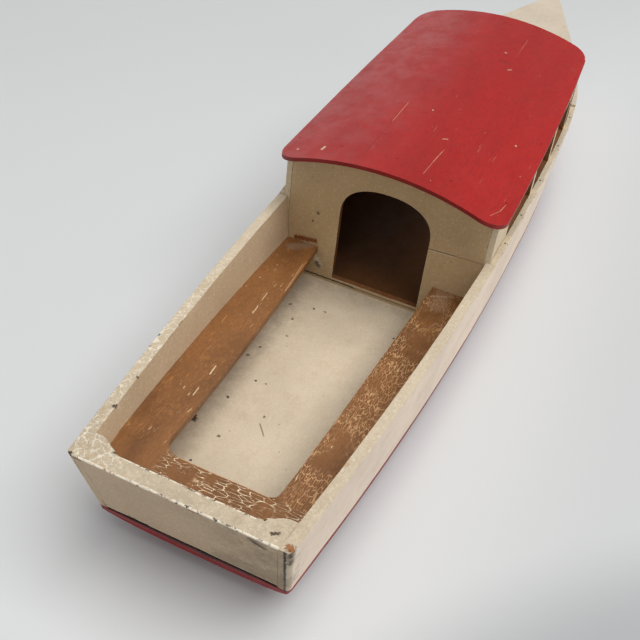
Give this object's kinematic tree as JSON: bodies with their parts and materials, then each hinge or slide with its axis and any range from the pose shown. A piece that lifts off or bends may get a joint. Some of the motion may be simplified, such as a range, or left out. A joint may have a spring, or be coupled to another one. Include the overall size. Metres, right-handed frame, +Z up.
{
  "type": "toy boat",
  "caption": "Old painted wooden toy cabin launch: open cockpit with benches, cabin with arched door and side windows, arched roof, foredeck and carved bottom.",
  "frame": {"origin": "on the ground, under the middle of the boat's overall box", "axes": "+X towards the bow, +Y to port, +Z up"},
  "size_m": [0.6606, 0.1435, 0.1311],
  "materials": {
    "cream_paint": "satin, crackled",
    "red_paint": "satin",
    "brown_paint": "satin, crackled",
    "cabin_brown": "matte",
    "pin_steel": "dull"
  },
  "bodies": {
    "root": {"bottom_block": "red_paint", "port_plank": "cream_paint", "starboard_plank": "cream_paint", "transom": "cream_paint", "nose_block": "cream_paint", "port_corner_block": "cream_paint", "starboard_corner_block": "cream_paint", "foredeck": "cream_paint", "cockpit_floor": "cream_paint", "cabin_floor": "cabin_brown", "door_bulkhead": "cream_paint", "front_bulkhead": "cream_paint", "port_cabin_side": "cream_paint", "starboard_cabin_side": "cream_paint", "port_cabin_strip": "cream_paint", "starboard_cabin_strip": "cream_paint", "roof": "red_paint", "port_bench": "brown_paint", "starboard_bench": "brown_paint", "aft_bench": "brown_paint", "port_bench_ledger": "brown_paint", "starboard_bench_ledger": "brown_paint", "aft_bench_ledger": "brown_paint", "transom_pins": "pin_steel", "strip_pins": "pin_steel", "roof_pins": "pin_steel", "deck_pins": "pin_steel", "floor_pins": "pin_steel", "bench_pins": "pin_steel"}
  },
  "joints": []
}
